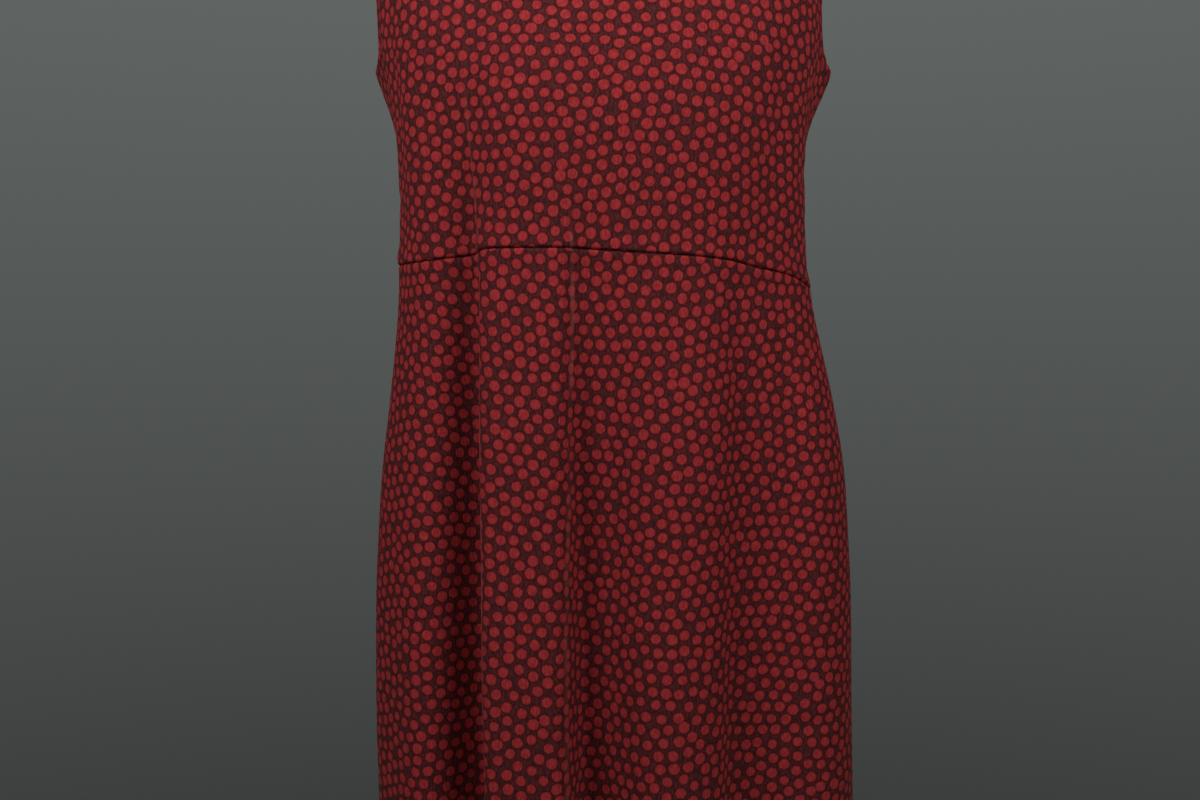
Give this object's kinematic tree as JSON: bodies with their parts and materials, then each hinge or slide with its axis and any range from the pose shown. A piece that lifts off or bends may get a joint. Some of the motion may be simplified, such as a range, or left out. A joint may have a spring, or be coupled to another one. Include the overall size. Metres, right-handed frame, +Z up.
{
  "type": "tank dress",
  "caption": "Sleeveless knee-length dress in dotted jersey, worn and hollow, with a round neck, an arched waist seam and a softly folded skirt.",
  "frame": {"origin": "midway between the shoulders, level with the neck ends of the shoulder seams, where the wearer holds the dress up", "axes": "+Z up, front facing -Y, +X to the right of somebody who looks at the front"},
  "size_m": [0.392, 0.2728, 0.9502],
  "materials": {
    "printed_jersey": "matt brushed cotton jersey with a print of round dots"
  },
  "bodies": {
    "root": {"bodice_front": "printed_jersey", "bodice_back": "printed_jersey", "skirt_front": "printed_jersey", "skirt_back": "printed_jersey"}
  },
  "joints": []
}
